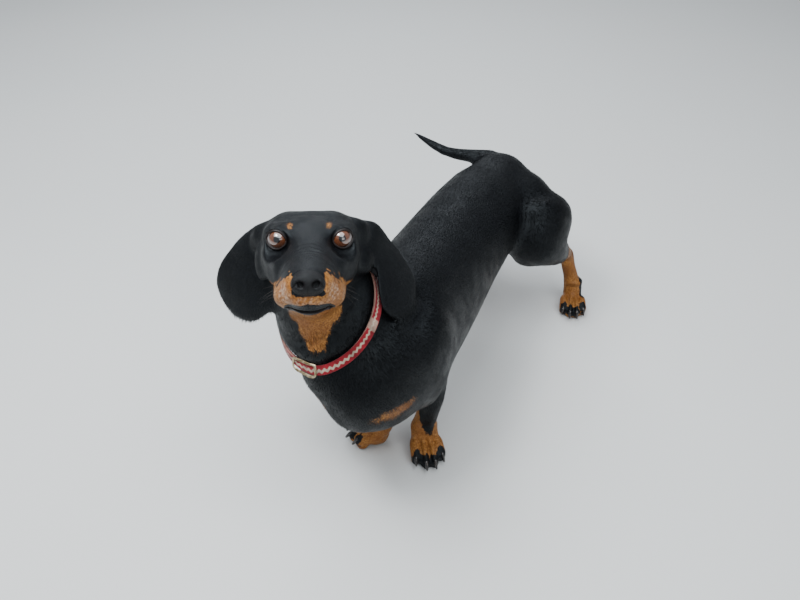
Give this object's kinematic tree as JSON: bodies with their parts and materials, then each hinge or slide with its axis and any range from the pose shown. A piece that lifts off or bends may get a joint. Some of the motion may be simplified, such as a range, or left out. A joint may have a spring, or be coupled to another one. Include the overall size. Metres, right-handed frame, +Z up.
{
  "type": "smooth-haired dachshund",
  "caption": "Short-legged black and tan dog, standing with its head raised and turned to its left, with long drop ears, a level tail and a flat collar.",
  "frame": {"origin": "on the floor, under the middle of the whole model's box", "axes": "+Z up, the animal faces -Y, and its left is +X"},
  "size_m": [0.2616, 0.514, 0.3418],
  "materials": {
    "black_coat": "short glossy fur",
    "tan_coat": "short fur",
    "eye": "wet gloss",
    "red_webbing": "woven",
    "collar_metal": "satin",
    "collar_plastic": "matte"
  },
  "bodies": {
    "root": {"head": "black_coat", "neck": "black_coat", "torso": "black_coat", "tail_root": "black_coat", "tail_tip": "black_coat", "ear_left": "black_coat", "ear_right": "black_coat", "thigh_left": "black_coat", "thigh_right": "black_coat", "shank_left": "tan_coat", "shank_right": "tan_coat", "foreleg_left": "tan_coat", "foreleg_right": "tan_coat", "forepaw_left": "tan_coat", "forepaw_right": "tan_coat", "hindpaw_left": "tan_coat", "hindpaw_right": "tan_coat", "eye_left": "eye", "eye_right": "eye", "collar_strap": "red_webbing", "collar_slide": "collar_metal", "collar_clip": "collar_plastic"}
  },
  "joints": []
}
